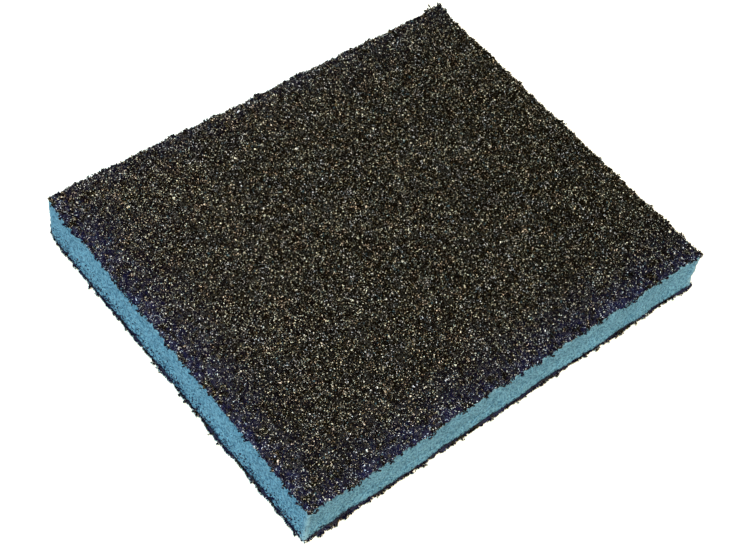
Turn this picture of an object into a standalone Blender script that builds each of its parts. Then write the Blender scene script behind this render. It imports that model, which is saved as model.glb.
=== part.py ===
"""A double-sided sanding sponge: a soft foam pad that carries coarse abrasive on both wide faces.

Five layers lie on each other, from the bottom up: abrasive grain, bond coat, foam core, bond coat,
abrasive grain. Units are metres. X runs along the pad's length, Y along its width and Z through its
thickness, and the origin is at the middle of the bottom face.
"""
import math

import bmesh
import bpy

# The whole pad
PAD_LENGTH = 0.120
PAD_WIDTH = 0.098
PAD_THICKNESS = 0.013

# The layers on each face, and the clearance that keeps neighbouring layers apart
GRIT_THICKNESS = 0.0004
BOND_THICKNESS = 0.00015
LAYER_GAP = 0.0003

# How far each layer's edge lies inside the grain's edge
BOND_INSET = 0.0002
FOAM_INSET = 0.0004

# Rounding in plan, and along the foam's upper and lower edges
CORNER_RADIUS = 0.0014
CORNER_STEPS = 8
FOAM_EDGE_ROUND = 0.0004
FOAM_EDGE_STEPS = 3
COAT_EDGE_CHAMFER = 0.00004

# Heights of each layer's lower and upper face
BOND_BASE = GRIT_THICKNESS + LAYER_GAP
FOAM_BASE = BOND_BASE + BOND_THICKNESS + LAYER_GAP
FOAM_TOP = PAD_THICKNESS - FOAM_BASE

# Linear red, green and blue, then roughness
FOAM_FINISH = ((0.14, 0.36, 0.52), 0.95)
BOND_FINISH = ((0.018, 0.017, 0.045), 0.60)
GRIT_FINISH = ((0.045, 0.041, 0.032), 0.45)


def clear_scene():
    for old in list(bpy.data.objects):
        bpy.data.objects.remove(old, do_unlink=True)


def make_material(name, finish):
    colour, roughness = finish
    material = bpy.data.materials.new(name)
    material.use_nodes = True
    shader = material.node_tree.nodes["Principled BSDF"]
    shader.inputs["Base Color"].default_value = (*colour, 1.0)
    shader.inputs["Roughness"].default_value = roughness
    shader.inputs["Metallic"].default_value = 0.0
    return material


def outline(inset):
    """Points counterclockwise round the pad's rounded rectangle, set in from the pad's edge."""
    radius = CORNER_RADIUS - inset
    reach_x = PAD_LENGTH / 2 - CORNER_RADIUS
    reach_y = PAD_WIDTH / 2 - CORNER_RADIUS
    centres = ((reach_x, reach_y), (-reach_x, reach_y), (-reach_x, -reach_y), (reach_x, -reach_y))
    points = []
    for corner, (x, y) in enumerate(centres):
        for step in range(CORNER_STEPS + 1):
            angle = math.pi / 2 * (corner + step / CORNER_STEPS)
            points.append((x + radius * math.cos(angle), y + radius * math.sin(angle)))
    return points


def stacked_body(name, levels, material):
    """One closed body through a stack of outlines, given from the bottom up as (inset, height)."""
    mesh = bpy.data.meshes.new(name)
    work = bmesh.new()
    rings = []
    for inset, height in levels:
        rings.append([work.verts.new((x, y, height)) for x, y in outline(inset)])
    work.faces.new(list(reversed(rings[0])))
    work.faces.new(rings[-1])
    count = len(rings[0])
    for lower, upper in zip(rings, rings[1:]):
        for i in range(count):
            after = (i + 1) % count
            work.faces.new((lower[i], lower[after], upper[after], upper[i]))
    work.to_mesh(mesh)
    work.free()
    body = bpy.data.objects.new(name, mesh)
    bpy.context.scene.collection.objects.link(body)
    mesh.materials.append(material)
    mesh.shade_smooth()
    mesh.set_sharp_from_angle(angle=math.radians(35))
    return body


def make_foam_core(material):
    """The block of foam, with its upper and lower edges softly rounded."""
    edge = []
    for step in range(FOAM_EDGE_STEPS + 1):
        angle = math.pi / 2 * step / FOAM_EDGE_STEPS
        inset = FOAM_INSET + FOAM_EDGE_ROUND * (1 - math.sin(angle))
        edge.append((inset, FOAM_EDGE_ROUND * (1 - math.cos(angle))))
    lower = [(inset, FOAM_BASE + height) for inset, height in edge]
    upper = [(inset, FOAM_TOP - height) for inset, height in reversed(edge)]
    return stacked_body("foam_core", lower + upper, material)


def make_coat(name, base, thickness, inset, material):
    """A thin flat layer with its edges broken by a small chamfer."""
    chamfer = COAT_EDGE_CHAMFER
    levels = [
        (inset + chamfer, base),
        (inset, base + chamfer),
        (inset, base + thickness - chamfer),
        (inset + chamfer, base + thickness),
    ]
    return stacked_body(name, levels, material)


def main():
    clear_scene()
    foam = make_material("foam", FOAM_FINISH)
    bond = make_material("bond_resin", BOND_FINISH)
    grit = make_material("abrasive_grain", GRIT_FINISH)
    bond_top = PAD_THICKNESS - BOND_BASE - BOND_THICKNESS
    grit_top = PAD_THICKNESS - GRIT_THICKNESS
    make_coat("bottom_grit_layer", 0.0, GRIT_THICKNESS, 0.0, grit)
    make_coat("bottom_bond_coat", BOND_BASE, BOND_THICKNESS, BOND_INSET, bond)
    make_foam_core(foam)
    make_coat("top_bond_coat", bond_top, BOND_THICKNESS, BOND_INSET, bond)
    make_coat("top_grit_layer", grit_top, GRIT_THICKNESS, 0.0, grit)


main()
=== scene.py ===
import math

import bmesh
import bpy
import numpy as np
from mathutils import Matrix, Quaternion, Vector


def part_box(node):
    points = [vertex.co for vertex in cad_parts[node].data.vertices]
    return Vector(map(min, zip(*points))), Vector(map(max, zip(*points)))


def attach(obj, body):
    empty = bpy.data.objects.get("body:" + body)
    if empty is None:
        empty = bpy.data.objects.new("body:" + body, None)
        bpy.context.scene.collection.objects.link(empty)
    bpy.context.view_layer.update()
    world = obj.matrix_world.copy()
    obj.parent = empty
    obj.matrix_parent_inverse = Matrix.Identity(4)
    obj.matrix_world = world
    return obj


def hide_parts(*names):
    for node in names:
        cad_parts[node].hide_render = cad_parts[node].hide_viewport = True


# The looks of a double-sided sanding sponge: a cut foam core, a crust of dark resin on each wide face,
# and tens of thousands of separate abrasive grains set in each crust. Everything is in metres, unless a
# comment says millimetres. The two sides that the camera sees face -X and -Y.

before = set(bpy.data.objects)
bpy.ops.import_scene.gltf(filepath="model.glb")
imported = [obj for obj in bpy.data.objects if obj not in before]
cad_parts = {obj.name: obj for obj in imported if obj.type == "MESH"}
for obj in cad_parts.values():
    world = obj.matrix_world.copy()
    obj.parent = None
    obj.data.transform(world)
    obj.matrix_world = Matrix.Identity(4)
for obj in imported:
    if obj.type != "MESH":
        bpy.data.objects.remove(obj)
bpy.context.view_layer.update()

MM = 0.001

# The camera's direction, its distance from the point it looks at, and its lens in millimetres
AZIMUTH, ELEVATION, ROLL = math.radians(-50.38), math.radians(52.73), math.radians(13.67)
CAMERA_DISTANCE = 0.3612
CAMERA_TARGET = Vector((-6.45, -6.59, 6.0)) * MM
CAMERA_LENS = 74.44
CAMERA_CLIP = 0.01

# Strength of the even light from all round
SURROUND = 0.20

# The far soft lights: where each comes from, its width in degrees, its strength and its colour
LIGHTS = {
    "overhead": ((-0.1, -0.1, 1.0), 17, 2.9, (1.0, 0.96, 0.83)),
    "key": ((0.5, 0.9, 0.9), 6, 1.1, (1.0, 0.95, 0.82)),
    "cool_fill": ((-1.0, -0.1, 1.0), 17, 1.7, (0.45, 0.90, 1.0)),
    "warm_fill": ((-0.1, -1.0, 1.0), 17, 1.7, (1.0, 0.74, 0.32)),
}

FLOOR_SIZE = 6.0

# Where the layers lie, read from the CAD
GRIT_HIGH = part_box("top_grit_layer")[1]
BOND_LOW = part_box("top_bond_coat")[0]
FOAM_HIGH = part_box("foam_core")[1]
HALF = np.array([GRIT_HIGH.x, GRIT_HIGH.y])
FOAM_HALF = np.array([FOAM_HIGH.x, FOAM_HIGH.y])
PAD_TOP = GRIT_HIGH.z
CORNERS = ((-1, -1), (1, -1), (1, 1), (-1, 1))

# Each face's crust lies against the foam, which grows into half of the CAD's clearance. The pad's
# weight presses the lower face's layers flatter.
FOAM_TOP = (FOAM_HIGH.z + BOND_LOW.z) / 2
LOWER_SQUEEZE = 0.65
FOAM_BOTTOM = (PAD_TOP - FOAM_TOP) * LOWER_SQUEEZE
CRUST_TOP = FOAM_TOP + 0.30 * MM
CORNER_RADIUS = 0.5 * MM
FOAM_CORNER_RADIUS = 0.6 * MM

# How far the far corner curls up, and the distance from the corner at which that ends
CURL = 0.9 * MM
CURL_REACH = 7 * MM

# The seed of each face's random draws, to which each kind of noise adds its own small number, and the
# seeds of the specks on the walls and of the foam's roughness, cells and waves
SEEDS = {"top": 100, "bottom": 200}
CLUMP_SEED_STEP = 11
WALL_SPECK_SEED = 300
FOAM_ROUGH_SEED = 41
FOAM_PIT_SEED = 42
FOAM_BROAD_SEED = 44
FOAM_FINE_SEED = 45

# Noises that are added up: how strong each is, the distance between its knots in millimetres, and the
# number added to the face's seed. Each repeats after this many knots.
EDGE_WAVES = ((0.28, 9.0, 0), (0.16, 2.8, 1), (0.21, 1.0, 2))
STAIN_PATCHES = ((1.0, 0.8, 5), (0.5, 4.0, 9))
CRUST_LUMPS = ((0.10, 0.9, 7), (0.06, 2.7, 8))
NOISE_KNOTS = 64

# How far each crust's edges reach past the pad's outline towards -X, +X, -Y and +Y, in millimetres, the
# distance over which one edge takes over from the next at a corner, and the least weight of an edge
EDGE_REACH = {"top": (-0.1, 0.0, -0.3, 0.0), "bottom": (0.4, 0.4, 0.7, 0.4)}
EDGE_BLEND = 0.5 * MM
LEAST_NEARNESS = 1e-6

# How far each crust's edge juts out (or falls short) at each corner, and the distance from the corner
# at which that fades out, in millimetres
CORNER_REACH = {
    "top": {(-1, -1): (0.3, 1.8), (1, -1): (0.2, 2.2), (1, 1): (0.6, 1.8), (-1, 1): (-0.3, 1.8)},
    "bottom": {(-1, -1): (-0.15, 9.0), (1, -1): (0.7, 13.0), (1, 1): (-0.5, 1.8), (-1, 1): (-1.2, 5.0)},
}

# The resin that stains the grains
EDGE_STAIN = (1.05, 0.0, 0.85, 0.3)  # how strong it is along the -X, +X, -Y and +Y edges
STAIN_REACH = 4.5 * MM  # how quickly that fades inwards
STAIN_HAZE = 0.07  # how strong its faint haze is at the -X edge
HAZE_REACH = 25 * MM  # how quickly the haze fades inwards
PATCH_LEVEL = 0.65  # the share of it that shows where the patches' noise is 0
PATCH_SWING = 0.8  # how much more or less of it shows where that noise is 1 or -1

# The grains
GRAIN_SPACING = 0.35 * MM
GRAIN_SHAKE = 0.36  # how far each is shaken off its place, as a share of the spacing
GRAIN_SIZE = 0.185 * MM  # the typical radius
GRAIN_SIZE_SPREAD = 0.17  # how much the factor on the radius varies
GRAIN_SIZE_LIMITS = (0.6, 1.6)  # the least and most that factor may be
GRAIN_WIDTHS = (0.65, 1.05)  # the least and most factors on its size in each direction
GRAIN_LENGTHS = (1.0, 1.9)  # the least and most further factors on its size in one direction
GRAIN_BREAKAGE = 0.32  # how far its corners are moved in or out, as a share
GRAIN_STAND = (-0.10, 0.25)  # how high its middle sits over the crust, in millimetres
GRAIN_MARGIN = 1.5 * MM  # how far outside the pad's outline places are tried
GRAIN_EDGE_GAP = 0.05 * MM  # the gap from the crust's edge to the first middles
STAINED_BARE_SHARE = 0.15  # the share of grains that is missing where the stain is full
STRIPS = 6  # the number of pieces that a face's grains are parted into

# The three shapes that grains are broken from
CUBE_HALF = 0.8
PYRAMID_REACH = 1.15
WEDGE_REACH = 1.05
WEDGE_HALF_HEIGHT = 0.75  # before the wedge's reach is applied

# How much more of the upper grains' facets get the painted glint colours towards -X than in the middle: a
# painted highlight that makes the upper face lighter towards -X
PAINTED_GLINT_SLOPE = 0.011

# The grains whose facets are all painted near white as sparkles (painted highlights): their share, their
# radius, and the tone at which their facets start
PAINTED_SPARKLE_SHARE = 0.0013
PAINTED_SPARKLE_RADIUS = 0.26 * MM
PAINTED_SPARKLE_TONE = 0.97

# The grains that hang on a cut edge, row by row: the share of places that have one, whether that is
# only in clumps, and how far out they sit, in millimetres
RIM_ROWS = 2 * [(0.30, False, (-0.30, 0.0))] + 3 * [(0.5, True, (-0.1, 0.5))]
RIM_STEP = 0.2 * MM  # the step between those places
RIM_SIZES = (0.7, 1.3)  # the least and most factors on the grains' typical radius
RIM_LOW = FOAM_TOP - 0.25 * MM
RIM_HIGH = CRUST_TOP + 0.05 * MM
CLUMP_SIZE = 1.3 * MM
CLUMP_RAMP = (0.25, 0.45)  # the noise at which a clump starts, and at which it is full
RIM_TONE = 0.8  # the factor on their tones, so that few of them glint
RIM_STAIN = 0.4  # the factor on their stain

# The splinters at the far corner: how far each lies from the corner and its length, in millimetres
SPLINTERS = ((0.3, 0.6), (2.8, 1.6), (4.7, 0.8))
SPLINTER_WIDTH = 0.55 * MM
SPLINTER_RISE = 0.15  # how high a splinter's middle lies over the crust, as a share of its length
SPLINTER_SLOPE = 0.3
SPLINTER_TONE = 0.4
SPLINTER_STAIN = 0.2

# The stray specks on the foam's walls. The walls towards +X and -Y are cleaner than the other two.
SPECK_COUNT = 9000  # how many are tried
SPECK_STEP = 0.1 * MM  # the step between their places along the walls
FACING = 0.5  # how much of a place's outward direction makes it face a side
SPECK_RISE = 1.7  # how far they spread upwards, in millimetres
SPECK_RISE_CLEAN = 0.5  # the same on the cleaner walls
SPECK_SHARE_CLEAN = 0.4  # the share of them that is kept on the cleaner walls
SPECK_LIMIT = 5 * MM  # how far over the foam's lower face they may lie
SPECK_SINK = 0.03 * MM  # how deep their middles lie in the foam
SPECK_RADII = (0.06, 0.17)  # in millimetres
SPECK_TONES = (0, 0.75)
SPECK_STAINS = (0.5, 1)

# The crust
CRUST_INSET = 0.25 * MM  # how far inside the pad's outline its edge lies before it wanders
CRUST_STEP = 0.62 * MM
CRUST_BAND = 3 * MM  # the width of the part that wanders with the edge
CRUST_LAP = 0.02 * MM  # how far it reaches into the foam

# The foam
FOAM_STEP = 0.25 * MM
CAP_INSETS = (1 * MM, 3 * MM, 5 * MM, 7 * MM, 9 * MM)  # the rings of points on its wide faces
FOAM_EDGE_ROUND = 0.35  # the radius of its soft edges, in millimetres
CELL_SIZE = 0.42 * MM
CELL_DEPTH = 0.25  # in millimetres
CELL_LEVEL = 0.1  # the noise above which the walls are cut flat, so that only pits are left
FOAM_ROUGHNESS = 0.06  # in millimetres

# How far the foam's walls wander: broad and fine waves, each as a height and a length in millimetres,
# the broad ones drawn out along the pad's height
WALL_BROAD = (0.28, 7)
WALL_FINE = (0.16, 2.2)
WALL_HEIGHT_SCALE = 0.4

# The foot of the foam's walls, which the pad's weight presses out. All of these are in millimetres.
FOOT_SPREAD = 0.35
FOOT_CORNERS = {(-1, -1): (0.4, 1.8), (-1, 1): (-0.9, 3)}  # how much more or less, within what distance
FOOT_NEAR_WALL, FOOT_NEAR_DEPTH = 0.2, 1  # how much more along the -Y wall, within what depth
FOOT_HEIGHTS = (1, 5)  # where the foot starts to end, and where it has ended
BULGE_CORNER, BULGE, BULGE_REACH = (1, -1), 0.7, 3  # a corner that bulges over its whole height

# Where the foam's edges get a painted highlight, paler where they catch the light: near its upright
# corners, and less along its upper rim
HIGHLIGHT_REACH = 2.2 * MM
HIGHLIGHT_RIM = 0.9 * MM
HIGHLIGHT_RIM_SHARE = 0.5

# Each material's roughness and specular level
FINISHES = {
    "abrasive_grain": (0.12, 0.08),
    "bond_resin": (0.45, 0.2),
    "foam": (0.9, 0.2),
    "pale_floor": (1.0, 0.0),
}

# A facet's colour by its tone: most are brownish black, and the last few are painted near white as glints
# (painted highlights)
GRAIN_TONES = (
    (0.00, (0.0014, 0.0007, 0.0001)),
    (0.50, (0.0032, 0.0018, 0.0002)),
    (0.81, (0.0080, 0.0054, 0.0010)),
    (0.885, (0.100, 0.088, 0.066)),
    (0.945, (0.435, 0.422, 0.392)),
    (1.00, (0.99, 0.985, 0.98)),
)

# The tints that vary in patches over the grains, the tint where resin stains them, and the colour that
# the resin adds
GRAIN_TINTS = (
    (0.34, (0.88, 0.70, 0.60)),
    (0.45, (0.80, 0.77, 0.64)),
    (0.55, (0.80, 0.75, 0.69)),
    (0.67, (0.75, 0.73, 0.84)),
)
STAINED_TINT = (0.60, 0.72, 1.0, 1)
GRAIN_STAIN = (0.005, 0.006, 0.038, 1)

# The noises' scales and details, and how much the fine one shifts a facet's tone
CHIP_NOISE = {"Scale": 4000.0, "Detail": 2.0}
CHIP_SHIFT = {"From Min": 0.35, "From Max": 0.65, "To Min": -0.16, "To Max": 0.10}
TINT_NOISE = {"Scale": 350.0, "Detail": 1.0}
RESIN_NOISE = {"Scale": 1500.0, "Detail": 3.0}
FOAM_CELLS = {"Scale": 2800.0}

RESIN_COLOURS = ((0.35, (0.0020, 0.0018, 0.0010)), (0.65, (0.0070, 0.0065, 0.0040)))
RESIN_STAIN = (0.006, 0.007, 0.035, 1)
FOAM_COLOURS = ((0.15, (0.0230, 0.088, 0.160)), (0.85, (0.139, 0.308, 0.452)))
# The paler foam colour along the edges is a painted highlight
PAINTED_HIGHLIGHT_FOAM = (0.27, 0.41, 0.50, 1)
PAINTED_HIGHLIGHT_FOAM_SHARE = 0.45
FLOOR_COLOUR = (0.97, 0.97, 0.97, 1)
WHITE = (1, 1, 1, 1)

# The Mix node's sockets for colours
MIX_FACTOR, MIX_FIRST, MIX_SECOND = 0, 6, 7
MIX_RESULT = 2


# ---------------------------------------------------------------- numbers

def lattice_noise(points, size, seed):
    """Smooth random values from -1 to 1 at each point. The lattice's knots lie this far apart."""
    shape = (NOISE_KNOTS, NOISE_KNOTS, NOISE_KNOTS)
    table = np.random.default_rng(seed).uniform(-1.0, 1.0, shape)
    at = points / size
    low = np.floor(at).astype(int)
    near = at - low
    near = near * near * (3 - 2 * near)
    total = np.zeros(len(points))
    for corner in np.ndindex(2, 2, 2):
        weight = np.prod(np.where(corner, near, 1 - near), axis=1)
        knot = (low + corner) % NOISE_KNOTS
        total += weight * table[knot[:, 0], knot[:, 1], knot[:, 2]]
    return total


def added_noise(points, noises, seed):
    """The sum of several noises, each with its strength, size in millimetres, and step of the seed."""
    total = np.zeros(len(points))
    for strength, size, step in noises:
        total += strength * lattice_noise(points, size * MM, seed + step)
    return total


def in_plan(points):
    """The points with their height set to zero, so that noise depends on the plan only."""
    flat = np.zeros((len(points), 3))
    flat[:, :2] = points[:, :2]
    return flat


def depth_inside(points, half, radius):
    """How far each point lies inside a rounded rectangle, and less than zero outside it."""
    past = np.abs(points[:, :2]) - (half - radius)
    beyond = np.hypot(np.maximum(past[:, 0], 0), np.maximum(past[:, 1], 0))
    return radius - beyond - np.minimum(past.max(axis=1), 0)


def ramp(values, low, high):
    """0 below low and 1 above high, smoothly between."""
    share = np.clip((values - low) / (high - low), 0, 1)
    return share * share * (3 - 2 * share)


def corner_share(points, corner, reach):
    """1 at a corner of the pad's outline, falling to 0 at this distance from it."""
    away = np.hypot(*(points[:, :2] - HALF * corner).T)
    return 1 - ramp(away, 0, reach)


def edge_depths(points):
    """How far each point lies inside the pad's -X, +X, -Y and +Y edges."""
    x, y = points[:, 0], points[:, 1]
    return np.stack([HALF[0] + x, HALF[0] - x, HALF[1] + y, HALF[1] - y])


def edge_wave(points, side):
    """How far a crust's cut edge wanders out of the straight line."""
    flat = in_plan(points)
    wave = added_noise(flat, EDGE_WAVES, SEEDS[side])
    nearness = np.exp(-np.maximum(edge_depths(flat), 0) / EDGE_BLEND) + LEAST_NEARNESS
    reaches = np.broadcast_to(np.array(EDGE_REACH[side])[:, None], nearness.shape)
    wave += np.average(reaches, axis=0, weights=nearness)
    for corner, (reach, spread) in CORNER_REACH[side].items():
        wave += reach * corner_share(flat, corner, spread * MM)
    return wave * MM


def edge_stain(points, side):
    """How strongly resin shows between and on the grains: most along the near edges, and in patches."""
    depths = np.maximum(edge_depths(points), 0)
    shares = np.array(EDGE_STAIN)[:, None] * np.exp(-depths / STAIN_REACH)
    patches = added_noise(in_plan(points), STAIN_PATCHES, SEEDS[side])
    haze = STAIN_HAZE * np.exp(-depths[0] / HAZE_REACH)
    return np.clip((np.max(shares, axis=0) + haze) * (PATCH_LEVEL + PATCH_SWING * patches), 0, 1)


def corner_lift(points):
    """How far the pad's far corner curls up."""
    return CURL * corner_share(points, (1, 1), CURL_REACH)


# ---------------------------------------------------------------- meshes

def make_mesh(name, points, faces, material, smooth):
    """A mesh piece from an array of points and an array of faces of one size."""
    mesh = bpy.data.meshes.new(name)
    size = faces.shape[1]
    mesh.vertices.add(len(points))
    mesh.vertices.foreach_set("co", np.ascontiguousarray(points, np.float32).ravel())
    mesh.loops.add(faces.size)
    mesh.loops.foreach_set("vertex_index", np.ascontiguousarray(faces, np.int32).ravel())
    mesh.polygons.add(len(faces))
    mesh.polygons.foreach_set("loop_start", np.arange(0, faces.size, size, dtype=np.int32))
    mesh.polygons.foreach_set("use_smooth", np.full(len(faces), smooth))
    mesh.update(calc_edges=True)
    mesh.validate()
    mesh.materials.append(material)
    piece = bpy.data.objects.new(name, mesh)
    bpy.context.scene.collection.objects.link(piece)
    return piece


def face_values(piece, name, values):
    """Stores one number for each face of a piece, for its material to read."""
    layer = piece.data.attributes.new(name, "FLOAT", "FACE")
    layer.data.foreach_set("value", np.ascontiguousarray(values, np.float32))


def point_values(piece, name, values):
    """Stores one number for each point of a piece, for its material to read."""
    layer = piece.data.attributes.new(name, "FLOAT", "POINT")
    layer.data.foreach_set("value", np.ascontiguousarray(values, np.float32))


def finish_piece(piece, slot, *nodes):
    """Sets the piece on the one body and hides the CAD nodes that it replaces. Its slot is not used."""
    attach(piece, "root")
    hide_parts(*nodes)


def rim_points(half, radius, step):
    """Points and outward directions, evenly spaced round a rounded rectangle, counterclockwise."""
    straight = 2 * (half - radius)
    arc = math.pi / 2 * radius
    total = 2 * straight.sum() + 4 * arc
    count = int(round(total / step))
    along = np.arange(count) * total / count
    points, normals = np.zeros((count, 2)), np.zeros((count, 2))
    start = 0.0
    for number, corner in enumerate(CORNERS[1:] + CORNERS[:1]):
        turn = number * math.pi / 2
        heading = np.array([math.cos(turn + math.pi / 2), math.sin(turn + math.pi / 2)])
        normal = np.array([math.cos(turn), math.sin(turn)])
        length = straight[1] if number % 2 == 0 else straight[0]
        centre = (half - radius) * corner
        on = (along >= start) & (along < start + length)
        points[on] = centre + normal * radius + heading * (along[on] - start)[:, None]
        normals[on] = normal
        start += length
        centre = centre + heading * length
        on = (along >= start) & (along < start + arc)
        angle = turn + (along[on] - start) / radius
        normals[on] = np.stack([np.cos(angle), np.sin(angle)], axis=1)
        points[on] = centre + normals[on] * radius
        start += arc
    return points, normals


# ---------------------------------------------------------------- grains

def box_shape():
    """The points and triangles of a cube."""
    points = np.array([[x, y, z] for x in (-1, 1) for y in (-1, 1) for z in (-1, 1)], float)
    quads = np.array([[0, 1, 3, 2], [4, 6, 7, 5], [0, 4, 5, 1], [2, 3, 7, 6], [0, 2, 6, 4], [1, 5, 7, 3]])
    return points * CUBE_HALF, np.concatenate([quads[:, [0, 1, 2]], quads[:, [0, 2, 3]]])


def double_pyramid_shape():
    """The points and triangles of two square pyramids, base to base."""
    points = np.array([[1, 0, 0], [0, 1, 0], [-1, 0, 0], [0, -1, 0], [0, 0, 1], [0, 0, -1]], float)
    upper = [[i, (i + 1) % 4, 4] for i in range(4)]
    lower = [[(i + 1) % 4, i, 5] for i in range(4)]
    return points * PYRAMID_REACH, np.array(upper + lower)


def wedge_shape():
    """The points and triangles of a three-sided prism."""
    turns = np.arange(3) * 2 * math.pi / 3
    ring = np.stack([np.cos(turns), np.sin(turns)], axis=1)
    lower = np.insert(ring, 2, -WEDGE_HALF_HEIGHT, axis=1)
    upper = np.insert(ring, 2, WEDGE_HALF_HEIGHT, axis=1)
    faces = [[2, 1, 0], [3, 4, 5]]
    for i in range(3):
        after = (i + 1) % 3
        faces += [[i, after, after + 3], [i, after + 3, i + 3]]
    return np.concatenate([lower, upper]) * WEDGE_REACH, np.array(faces)


PYRAMID = double_pyramid_shape()
SHAPES = (box_shape(), PYRAMID, wedge_shape())


def random_turns(count, rng):
    """Rotation matrices spread evenly over every direction."""
    q = rng.normal(size=(count, 4))
    q /= np.linalg.norm(q, axis=1)[:, None]
    w, x, y, z = q.T
    rows = [
        [1 - 2 * (y * y + z * z), 2 * (x * y - w * z), 2 * (x * z + w * y)],
        [2 * (x * y + w * z), 1 - 2 * (x * x + z * z), 2 * (y * z - w * x)],
        [2 * (x * z - w * y), 2 * (y * z + w * x), 1 - 2 * (x * x + y * y)],
    ]
    return np.moveaxis(np.array(rows), 2, 0)


def crushed_grains(centres, radii, rng):
    """Points, triangles and each point's grain number for broken, sharp-edged grains."""
    kinds = rng.integers(0, len(SHAPES), len(centres))
    turns = random_turns(len(centres), rng)
    stretch = rng.uniform(*GRAIN_WIDTHS, (len(centres), 3))
    stretch[:, 2] *= rng.uniform(*GRAIN_LENGTHS, len(centres))
    all_points, all_faces, owners = [], [], []
    start = 0
    for kind, (shape, faces) in enumerate(SHAPES):
        chosen = np.flatnonzero(kinds == kind)
        breaks = rng.uniform(-GRAIN_BREAKAGE, GRAIN_BREAKAGE, (len(chosen), len(shape), 3))
        points = shape[None] * (1 + breaks)
        points *= (stretch[chosen] * radii[chosen, None])[:, None]
        points = np.einsum("nij,nkj->nki", turns[chosen], points) + centres[chosen, None]
        offsets = start + len(shape) * np.arange(len(chosen))
        all_points.append(points.reshape(-1, 3))
        all_faces.append((faces[None] + offsets[:, None, None]).reshape(-1, 3))
        owners.append(np.repeat(chosen, len(shape)))
        start += len(shape) * len(chosen)
    return np.concatenate(all_points), np.concatenate(all_faces), np.concatenate(owners)


def even_tones(owner, rng):
    """A tone from 0 to 1 for each face, spread evenly over the faces of each grain."""
    order = np.lexsort((rng.uniform(0, 1, len(owner)), owner))
    counts = np.bincount(owner)
    starts = np.cumsum(counts) - counts
    rank = np.empty(len(owner))
    rank[order] = np.arange(len(owner)) - starts[owner[order]]
    return (rank + rng.uniform(0, 1, len(owner))) / counts[owner]


def scattered(spacing, reach, rng):
    """Points in plan on a shaken triangular lattice that covers a rectangle."""
    rows = np.arange(-reach[1], reach[1], spacing * math.sqrt(3) / 2)
    columns = np.arange(-reach[0], reach[0], spacing)
    x, y = np.meshgrid(columns, rows)
    x[1::2] += spacing / 2
    points = np.stack([x.ravel(), y.ravel()], axis=1)
    return points + rng.uniform(-GRAIN_SHAKE, GRAIN_SHAKE, points.shape) * spacing


def rim_grains(side, rng):
    """Centres and radii of the grains that hang on a crust's cut edge, some of them in clumps."""
    ring, normals = rim_points(HALF, CORNER_RADIUS, RIM_STEP)
    outer = ring + normals * edge_wave(ring, side)[:, None]
    clump_noise = lattice_noise(in_plan(outer), CLUMP_SIZE, SEEDS[side] + CLUMP_SEED_STEP)
    clump = ramp(clump_noise, *CLUMP_RAMP)
    centres, radii = [], []
    for share, clumped, reach in RIM_ROWS:
        chosen = rng.uniform(0, 1, len(ring)) < (share * clump if clumped else share)
        count = int(chosen.sum())
        out = rng.uniform(*reach, count)
        place = outer[chosen] + normals[chosen] * (out * MM)[:, None]
        height = rng.uniform(RIM_LOW, RIM_HIGH, count)
        centres.append(np.column_stack([place, height]))
        radii.append(GRAIN_SIZE * rng.uniform(*RIM_SIZES, count))
    return np.concatenate(centres), np.concatenate(radii)


def wall_grains(material):
    """Small stray grains and resin beads that stick to the foam's walls, most of them low down."""
    rng = np.random.default_rng(WALL_SPECK_SEED)
    ring, normals = rim_points(FOAM_HALF, FOAM_CORNER_RADIUS, SPECK_STEP)
    where = rng.integers(0, len(ring), SPECK_COUNT)
    clean = (normals[where, 0] > -FACING) & (normals[where, 1] < FACING)
    rise = np.abs(rng.normal(0.0, 1.0, SPECK_COUNT)) * np.where(clean, SPECK_RISE_CLEAN, SPECK_RISE)
    height = FOAM_BOTTOM + rise * MM
    kept = height < FOAM_BOTTOM + SPECK_LIMIT
    kept &= rng.uniform(0, 1, SPECK_COUNT) < np.where(clean, SPECK_SHARE_CLEAN, 1.0)
    where, height = where[kept], height[kept]
    sway = foam_sway(np.column_stack([ring[where], height]))
    place = ring[where] + normals[where] * (sway - SPECK_SINK)[:, None]
    centres = np.column_stack([place, height])
    radii = rng.uniform(*SPECK_RADII, len(centres)) * MM
    points, faces, owners = crushed_grains(centres, radii, rng)
    piece = make_mesh("foam_wall_specks", points, faces, material, False)
    face_values(piece, "tone", rng.uniform(*SPECK_TONES, len(faces)))
    face_values(piece, "stain", rng.uniform(*SPECK_STAINS, len(centres))[owners[faces[:, 0]]])
    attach(piece, "root")


def corner_splinters(material):
    """Thin splinters of crust that stick out past the upper face's far corner."""
    shape, faces = PYRAMID
    points = []
    for inset, length in SPLINTERS:
        root = np.array([HALF[0] - inset * MM, HALF[1], CRUST_TOP])
        root[2] += corner_lift(root[None])[0]
        splinter = shape * [SPLINTER_WIDTH / 2, length * MM / 2, SPLINTER_WIDTH / 2]
        splinter[:, 2] += SPLINTER_SLOPE * splinter[:, 1]
        points.append(splinter + root + [0, length * MM / 2, SPLINTER_RISE * length * MM])
    offsets = len(shape) * np.arange(len(points))
    faces = (faces[None] + offsets[:, None, None]).reshape(-1, 3)
    piece = make_mesh("top_corner_splinters", np.concatenate(points), faces, material, False)
    face_values(piece, "tone", np.full(len(faces), SPLINTER_TONE))
    face_values(piece, "stain", np.full(len(faces), SPLINTER_STAIN))
    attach(piece, "root")


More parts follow.
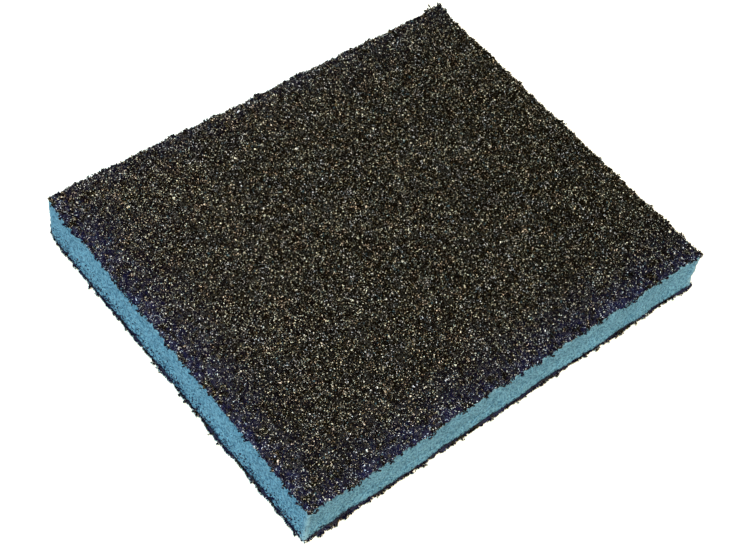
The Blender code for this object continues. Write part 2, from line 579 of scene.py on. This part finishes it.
def grain_layer(side, material):
    """The abrasive on one wide face, in strips that lie side by side."""
    rng = np.random.default_rng(SEEDS[side])
    plan = scattered(GRAIN_SPACING, HALF + GRAIN_MARGIN, rng)
    depth = depth_inside(plan, HALF, CORNER_RADIUS) + edge_wave(plan, side)
    stain = edge_stain(plan, side)
    kept = (depth > GRAIN_EDGE_GAP) & (rng.uniform(0, 1, len(plan)) > STAINED_BARE_SHARE * stain)
    plan, stain = plan[kept], stain[kept]
    radii = GRAIN_SIZE * np.clip(rng.lognormal(0.0, GRAIN_SIZE_SPREAD, len(plan)), *GRAIN_SIZE_LIMITS)
    height = CRUST_TOP + rng.uniform(*GRAIN_STAND, len(plan)) * MM
    rim, rim_radii = rim_grains(side, rng)
    centres = np.concatenate([np.column_stack([plan, height]), rim])
    radii = np.concatenate([radii, rim_radii])
    stain = np.concatenate([stain, RIM_STAIN * edge_stain(rim, side)])
    # A few grains are made large, with all their facets painted near white as sparkles (painted
    # highlights)
    painted_sparkle = rng.uniform(0, 1, len(centres)) < PAINTED_SPARKLE_SHARE
    radii = np.where(painted_sparkle, PAINTED_SPARKLE_RADIUS, radii)
    points, faces, owners = crushed_grains(centres, radii, rng)
    if side == "top":
        points[:, 2] += corner_lift(points)
    else:
        points[:, 2] = np.maximum(PAD_TOP - points[:, 2], 0.0) * LOWER_SQUEEZE
        faces = faces[:, ::-1]
    owner = owners[faces[:, 0]]
    tone = even_tones(owner, rng) * np.where(owner < len(centres) - len(rim), 1, RIM_TONE)
    # Painted glints: the upper face's facets get brighter tones towards -X, so that face looks lighter
    # there
    if side == "top":
        tone -= PAINTED_GLINT_SLOPE * centres[owner, 0] / HALF[0]
    # The sparkle grains' facets get the painted near-white tones
    tone = np.where(painted_sparkle[owner], PAINTED_SPARKLE_TONE + (1 - PAINTED_SPARKLE_TONE) * tone, tone)
    strip = np.clip(((centres[owner, 1] / HALF[1] + 1) / 2 * STRIPS).astype(int), 0, STRIPS - 1)
    for number in range(STRIPS):
        here = strip == number
        used, renumbered = np.unique(faces[here], return_inverse=True)
        faces_here = renumbered.reshape(-1, 3)
        piece = make_mesh(f"{side}_grains_{number + 1}", points[used], faces_here, material, False)
        face_values(piece, "tone", tone[here])
        face_values(piece, "stain", stain[owner[here]])
        finish_piece(piece, "abrasive_grain", f"{side}_grit_layer")


# ---------------------------------------------------------------- crust

def plan_grid(half, radius, step):
    """Grid points over a rounded rectangle, as an array of rows, with the square's corners drawn in."""
    counts = [int(round(2 * h / step)) + 1 for h in half]
    x, y = np.meshgrid(np.linspace(-1, 1, counts[0]), np.linspace(-1, 1, counts[1]))
    plan = np.stack([x * half[0], y * half[1]], axis=-1)
    past = (np.abs(plan) - (half - radius)) / radius
    both = (past[..., 0] > 0) & (past[..., 1] > 0)
    a, b = past[..., 0], past[..., 1]
    round_x = a * np.sqrt(np.maximum(1 - b * b / 2, 0))
    round_y = b * np.sqrt(np.maximum(1 - a * a / 2, 0))
    sign = np.sign(plan)
    plan[..., 0] = np.where(both, sign[..., 0] * (half[0] - radius + radius * round_x), plan[..., 0])
    plan[..., 1] = np.where(both, sign[..., 1] * (half[1] - radius + radius * round_y), plan[..., 1])
    return plan


def grid_faces(rows, columns, start=0):
    """Quads over a grid of points, numbered row by row."""
    index = start + np.arange(rows * columns).reshape(rows, columns)
    corners = [index[:-1, :-1], index[:-1, 1:], index[1:, 1:], index[1:, :-1]]
    return np.stack(corners, axis=-1).reshape(-1, 4)


def border(rows, columns):
    """The grid's outer points, counterclockwise."""
    index = np.arange(rows * columns).reshape(rows, columns)
    return np.concatenate([index[0, :-1], index[:-1, -1], index[-1, :0:-1], index[:0:-1, 0]])


def crust(side, material):
    """The resin that holds the grains on one wide face, lumpy on the outside and flat against the foam."""
    plan = plan_grid(HALF - CRUST_INSET, CORNER_RADIUS, CRUST_STEP)
    rows, columns = plan.shape[:2]
    plan = plan.reshape(-1, 2)
    outward = plan / HALF
    outward = np.sign(outward) * ramp(np.abs(outward) * HALF, HALF - CRUST_BAND, HALF)
    plan = plan + outward * edge_wave(plan, side)[:, None]
    lumps = added_noise(in_plan(plan), CRUST_LUMPS, SEEDS[side])
    upper = np.column_stack([plan, CRUST_TOP + lumps * MM])
    lower = np.column_stack([plan, np.full(len(plan), FOAM_TOP - CRUST_LAP)])
    if side == "top":
        upper[:, 2] += corner_lift(upper)
        lower[:, 2] += corner_lift(lower)
    count = len(plan)
    rim = border(rows, columns)
    after = np.roll(rim, -1)
    wall = np.stack([rim + count, after + count, after, rim], axis=-1)
    faces = np.concatenate([grid_faces(rows, columns), grid_faces(rows, columns, count)[:, ::-1], wall])
    points = np.concatenate([upper, lower])
    if side == "bottom":
        points[:, 2] = (PAD_TOP - points[:, 2]) * LOWER_SQUEEZE
        faces = faces[:, ::-1]
    piece = make_mesh(f"{side}_bond_crust", points, faces, material, True)
    face_values(piece, "stain", edge_stain(points[faces[:, 0]], side))
    finish_piece(piece, "bond_resin", f"{side}_bond_coat")


# ---------------------------------------------------------------- foam

def foam_sway(points):
    """How far the foam's cut walls wander from flat."""
    tall = points * [1, 1, WALL_HEIGHT_SCALE]
    sway = WALL_BROAD[0] * lattice_noise(tall, WALL_BROAD[1] * MM, FOAM_BROAD_SEED)
    sway += WALL_FINE[0] * lattice_noise(points, WALL_FINE[1] * MM, FOAM_FINE_SEED)
    low_down = 1 - ramp(points[:, 2], FOOT_HEIGHTS[0] * MM, FOOT_HEIGHTS[1] * MM)
    foot = FOOT_SPREAD
    for corner, (spread, reach) in FOOT_CORNERS.items():
        foot = foot + spread * corner_share(points, corner, reach * MM)
    near_wall = ramp(-points[:, 1], FOAM_HALF[1] - FOOT_NEAR_DEPTH * MM, FOAM_HALF[1])
    foot += FOOT_NEAR_WALL * near_wall
    sway += BULGE * corner_share(points, BULGE_CORNER, BULGE_REACH * MM)
    return (sway + foot * low_down) * MM


def foam_edge_highlight(points):
    """1 where the foam's edges get a painted highlight: down its upright corners, and less along its upper
    rim.
    """
    upright = [corner_share(points, corner, HIGHLIGHT_REACH) for corner in CORNERS]
    rim = ramp(points[:, 2], FOAM_TOP - HIGHLIGHT_RIM, FOAM_TOP)
    return np.clip(np.max(upright, axis=0) + HIGHLIGHT_RIM_SHARE * rim, 0, 1)


def edge_rounding(points):
    """How far the foam's walls draw in towards their upper and lower edges, in millimetres."""
    to_edge = np.minimum(points[:, 2] - FOAM_BOTTOM, FOAM_TOP - points[:, 2])
    share = np.clip(to_edge / (FOAM_EDGE_ROUND * MM), 0, 1)
    return FOAM_EDGE_ROUND * (1 - np.sqrt(np.clip(1 - (1 - share) ** 2, 0, 1)))


def foam_walls(ring, normals, heights):
    """The points of the foam's cut walls, ring above ring, pitted by opened cells."""
    count = len(ring)
    points = np.concatenate([np.column_stack([ring, np.full(count, z)]) for z in heights])
    outward = np.tile(np.column_stack([normals, np.zeros(count)]), (len(heights), 1))
    rng = np.random.default_rng(FOAM_ROUGH_SEED)
    cells = np.minimum(lattice_noise(points, CELL_SIZE, FOAM_PIT_SEED), CELL_LEVEL) * CELL_DEPTH
    cells += FOAM_ROUGHNESS * rng.uniform(-1, 1, len(points))
    sway = foam_sway(points) / MM
    return points + outward * ((cells + sway - edge_rounding(points)) * MM)[:, None]


def band(low_start, high_start, count):
    """Quads between two rings of this many points, given the number of each ring's first point."""
    here = np.arange(count)
    after = (here + 1) % count
    return np.stack([low_start + here, low_start + after, high_start + after, high_start + here], axis=-1)


def cap_faces(piece, *loops):
    """Closes each loop of a piece's points with one flat face."""
    work = bmesh.new()
    work.from_mesh(piece.data)
    work.verts.ensure_lookup_table()
    for loop in loops:
        work.faces.new([work.verts[int(i)] for i in loop])
    work.to_mesh(piece.data)
    work.free()


def foam_core(material):
    """The cut foam: pitted walls, a soft round along its edges, and flat wide faces."""
    ring, normals = rim_points(FOAM_HALF, FOAM_CORNER_RADIUS, FOAM_STEP)
    count = len(ring)
    levels = int(round((FOAM_TOP - FOAM_BOTTOM) / FOAM_STEP)) + 1
    parts = [foam_walls(ring, normals, np.linspace(FOAM_BOTTOM, FOAM_TOP, levels))]
    for z in (FOAM_BOTTOM, FOAM_TOP):
        for inset in CAP_INSETS:
            parts.append(np.column_stack([ring * (1 - inset / FOAM_HALF), np.full(count, z)]))
    points = np.concatenate(parts)
    caps = len(CAP_INSETS)
    wall_rings = [level * count for level in range(levels)]
    bottom_rings = [0] + [(levels + i) * count for i in range(caps)]
    top_rings = [(levels - 1) * count] + [(levels + caps + i) * count for i in range(caps)]
    pairs = list(zip(wall_rings, wall_rings[1:]))
    pairs += zip(bottom_rings[1:], bottom_rings)
    pairs += zip(top_rings, top_rings[1:])
    faces = np.concatenate([band(low, high, count) for low, high in pairs])
    points[:, 2] += corner_lift(points) * ramp(points[:, 2], FOAM_BOTTOM, FOAM_TOP)
    piece = make_mesh("foam_pad", points, faces, material, True)
    here = np.arange(count)
    cap_faces(piece, bottom_rings[-1] + here[::-1], top_rings[-1] + here)
    # The painted highlight along the foam's edges, for its material to read
    point_values(piece, "painted_edge_highlight", foam_edge_highlight(points))
    finish_piece(piece, "foam", "foam_core")


# ---------------------------------------------------------------- materials

def new_material(name):
    """A new material with its finish set, its node tree, and its shader."""
    material = bpy.data.materials.new(name)
    material.use_nodes = True
    shader = material.node_tree.nodes["Principled BSDF"]
    roughness, specular = FINISHES[name]
    shader.inputs["Roughness"].default_value = roughness
    shader.inputs["Specular IOR Level"].default_value = specular
    return material, material.node_tree, shader


def add_node(tree, kind, **values):
    """A new node with its plain inputs and properties set by name."""
    node = tree.nodes.new(kind)
    for name, value in values.items():
        if name in node.inputs.keys():
            node.inputs[name].default_value = value
        else:
            setattr(node, name, value)
    return node


def attribute(tree, name):
    """The numbers that a piece stores under this name, as a socket."""
    return add_node(tree, "ShaderNodeAttribute", attribute_name=name).outputs["Fac"]


def texture(tree, kind, output, **values):
    """One output of a texture laid out in the piece's own space."""
    place = tree.nodes.new("ShaderNodeTexCoord")
    node = add_node(tree, kind, **values)
    tree.links.new(place.outputs["Object"], node.inputs["Vector"])
    return node.outputs[output]


def colour_ramp(tree, factor, stops):
    """The colour that a ramp gives a socket's values. Each stop has a place and a colour."""
    node = tree.nodes.new("ShaderNodeValToRGB")
    elements = node.color_ramp.elements
    while len(elements) < len(stops):
        elements.new(0.5)
    for element, (place, colour) in zip(elements, stops):
        element.position = place
        element.color = (*colour, 1.0)
    tree.links.new(factor, node.inputs["Fac"])
    return node.outputs["Color"]


def math_node(tree, operation, first, second):
    """The result of a sum or product of a socket with a socket or a number."""
    node = add_node(tree, "ShaderNodeMath", operation=operation)
    feed(tree, node.inputs[0], first)
    feed(tree, node.inputs[1], second)
    return node.outputs["Value"]


def mixed(tree, blend, factor, first, second):
    """The result of a mix of two colours, each a socket or a plain colour."""
    node = add_node(tree, "ShaderNodeMix", data_type="RGBA", blend_type=blend)
    feed(tree, node.inputs[MIX_FACTOR], factor)
    feed(tree, node.inputs[MIX_FIRST], first)
    feed(tree, node.inputs[MIX_SECOND], second)
    return node.outputs[MIX_RESULT]


def feed(tree, socket, source):
    """Links an input to a socket, or sets it to a plain value."""
    if isinstance(source, bpy.types.NodeSocket):
        tree.links.new(source, socket)
    else:
        socket.default_value = source


def grain_material():
    """Dark broken grains with a few facets painted bright as glints, tinted in patches and stained by
    resin.
    """
    material, tree, shader = new_material("abrasive_grain")
    stain = attribute(tree, "stain")
    chips = add_node(tree, "ShaderNodeMapRange", **CHIP_SHIFT)
    tree.links.new(texture(tree, "ShaderNodeTexNoise", "Fac", **CHIP_NOISE), chips.inputs["Value"])
    tone = math_node(tree, "ADD", attribute(tree, "tone"), chips.outputs["Result"])
    patches = texture(tree, "ShaderNodeTexNoise", "Fac", **TINT_NOISE)
    tint = mixed(tree, "MIX", stain, colour_ramp(tree, patches, GRAIN_TINTS), STAINED_TINT)
    # The top end of the tone ramp paints near-white glints (painted highlights) into the base colour
    tinted = mixed(tree, "MULTIPLY", 1.0, colour_ramp(tree, tone, GRAIN_TONES), tint)
    tree.links.new(mixed(tree, "ADD", stain, tinted, GRAIN_STAIN), shader.inputs["Base Color"])
    return material


def bond_material():
    """Dark mottled resin, indigo where it stains the edges."""
    material, tree, shader = new_material("bond_resin")
    patches = texture(tree, "ShaderNodeTexNoise", "Fac", **RESIN_NOISE)
    colour = colour_ramp(tree, patches, RESIN_COLOURS)
    stained = mixed(tree, "ADD", attribute(tree, "stain"), colour, RESIN_STAIN)
    tree.links.new(stained, shader.inputs["Base Color"])
    return material


def foam_material():
    """Light blue foam with a pattern of cells, paler along its edges as a painted highlight."""
    material, tree, shader = new_material("foam")
    cells = texture(tree, "ShaderNodeTexVoronoi", "Color", **FOAM_CELLS)
    # Paler along the edges: a painted highlight where they catch the light
    highlight_painted = math_node(tree, "MULTIPLY", attribute(tree, "painted_edge_highlight"), PAINTED_HIGHLIGHT_FOAM_SHARE)
    colour = mixed(tree, "MIX", highlight_painted, colour_ramp(tree, cells, FOAM_COLOURS), PAINTED_HIGHLIGHT_FOAM)
    tree.links.new(colour, shader.inputs["Base Color"])
    return material


def floor_material():
    """A plain pale matt floor."""
    material, _, shader = new_material("pale_floor")
    shader.inputs["Base Color"].default_value = FLOOR_COLOUR
    return material


# ---------------------------------------------------------------- stage

def add_camera():
    """The camera at the photograph's viewing angle."""
    back = Vector((
        math.sin(AZIMUTH) * math.cos(ELEVATION),
        -math.cos(AZIMUTH) * math.cos(ELEVATION),
        math.sin(ELEVATION),
    ))
    data = bpy.data.cameras.new("camera")
    data.lens = CAMERA_LENS
    data.clip_start = CAMERA_CLIP
    camera = bpy.data.objects.new("camera", data)
    camera.location = CAMERA_TARGET + back * CAMERA_DISTANCE
    camera.rotation_mode = "QUATERNION"
    camera.rotation_quaternion = back.to_track_quat("Z", "Y") @ Quaternion((0, 0, 1), ROLL)
    bpy.context.scene.collection.objects.link(camera)
    bpy.context.scene.camera = camera


def add_light(name, direction, spread, strength, colour):
    """A far soft light from one direction, as wide as this angle in degrees."""
    data = bpy.data.lights.new(name, "SUN")
    data.angle = math.radians(spread)
    data.energy = strength
    data.color = colour
    light = bpy.data.objects.new(name, data)
    light.rotation_mode = "QUATERNION"
    light.rotation_quaternion = Vector(direction).to_track_quat("Z", "Y")
    bpy.context.scene.collection.objects.link(light)


def add_world():
    """An even dim surround, which the camera sees as white."""
    world = bpy.data.worlds.new("studio")
    world.use_nodes = True
    tree = world.node_tree
    rays = tree.nodes.new("ShaderNodeLightPath")
    strength = add_node(tree, "ShaderNodeMapRange", **{"To Min": SURROUND, "To Max": 1.0})
    background = tree.nodes["Background"]
    tree.links.new(rays.outputs["Is Camera Ray"], strength.inputs["Value"])
    tree.links.new(strength.outputs["Result"], background.inputs["Strength"])
    background.inputs["Color"].default_value = WHITE
    bpy.context.scene.world = world


def add_stage():
    """The floor, the surround and the lights."""
    bpy.ops.mesh.primitive_plane_add(size=FLOOR_SIZE)
    floor = bpy.context.object
    floor.name = "floor"
    floor.data.materials.append(floor_material())
    add_world()
    for name, settings in LIGHTS.items():
        add_light(name, *settings)
    bpy.context.scene.view_settings.view_transform = "Standard"


def main():
    """Builds the stage and every piece."""
    add_camera()
    add_stage()
    grains = grain_material()
    resin = bond_material()
    foam_core(foam_material())
    wall_grains(grains)
    corner_splinters(grains)
    for side in SEEDS:
        crust(side, resin)
        grain_layer(side, grains)


main()
